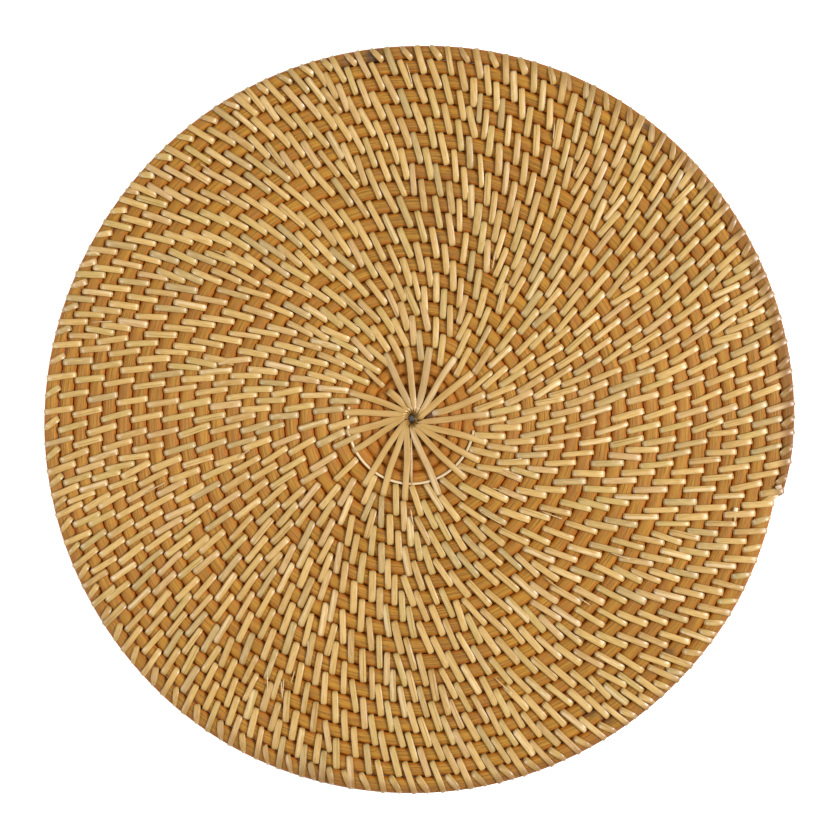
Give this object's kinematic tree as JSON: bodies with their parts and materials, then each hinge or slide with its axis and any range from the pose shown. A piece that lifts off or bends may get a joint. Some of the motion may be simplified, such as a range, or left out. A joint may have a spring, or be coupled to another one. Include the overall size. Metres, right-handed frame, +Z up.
{
  "type": "rattan placemat",
  "caption": "Round flat table mat coiled from rattan cane in a spiral, its rows bound together by pale peel strips that fan out from a small centre hole.",
  "frame": {"origin": "on the surface that the mat lies on, under the middle of its outline", "axes": "+Z up out of the mat's face; +X and +Y lie in its plane, to the right and towards the top of the face seen from above, with the coil's tip near +X"},
  "size_m": [0.3502, 0.3492, 0.007],
  "materials": {
    "rattan_cane": "satin honey-brown cane",
    "peel_strip": "smooth pale rattan peel, slightly glossy"
  },
  "bodies": {
    "root": {"coil_mat": "rattan_cane", "centre_wrap": "peel_strip"}
  },
  "joints": []
}
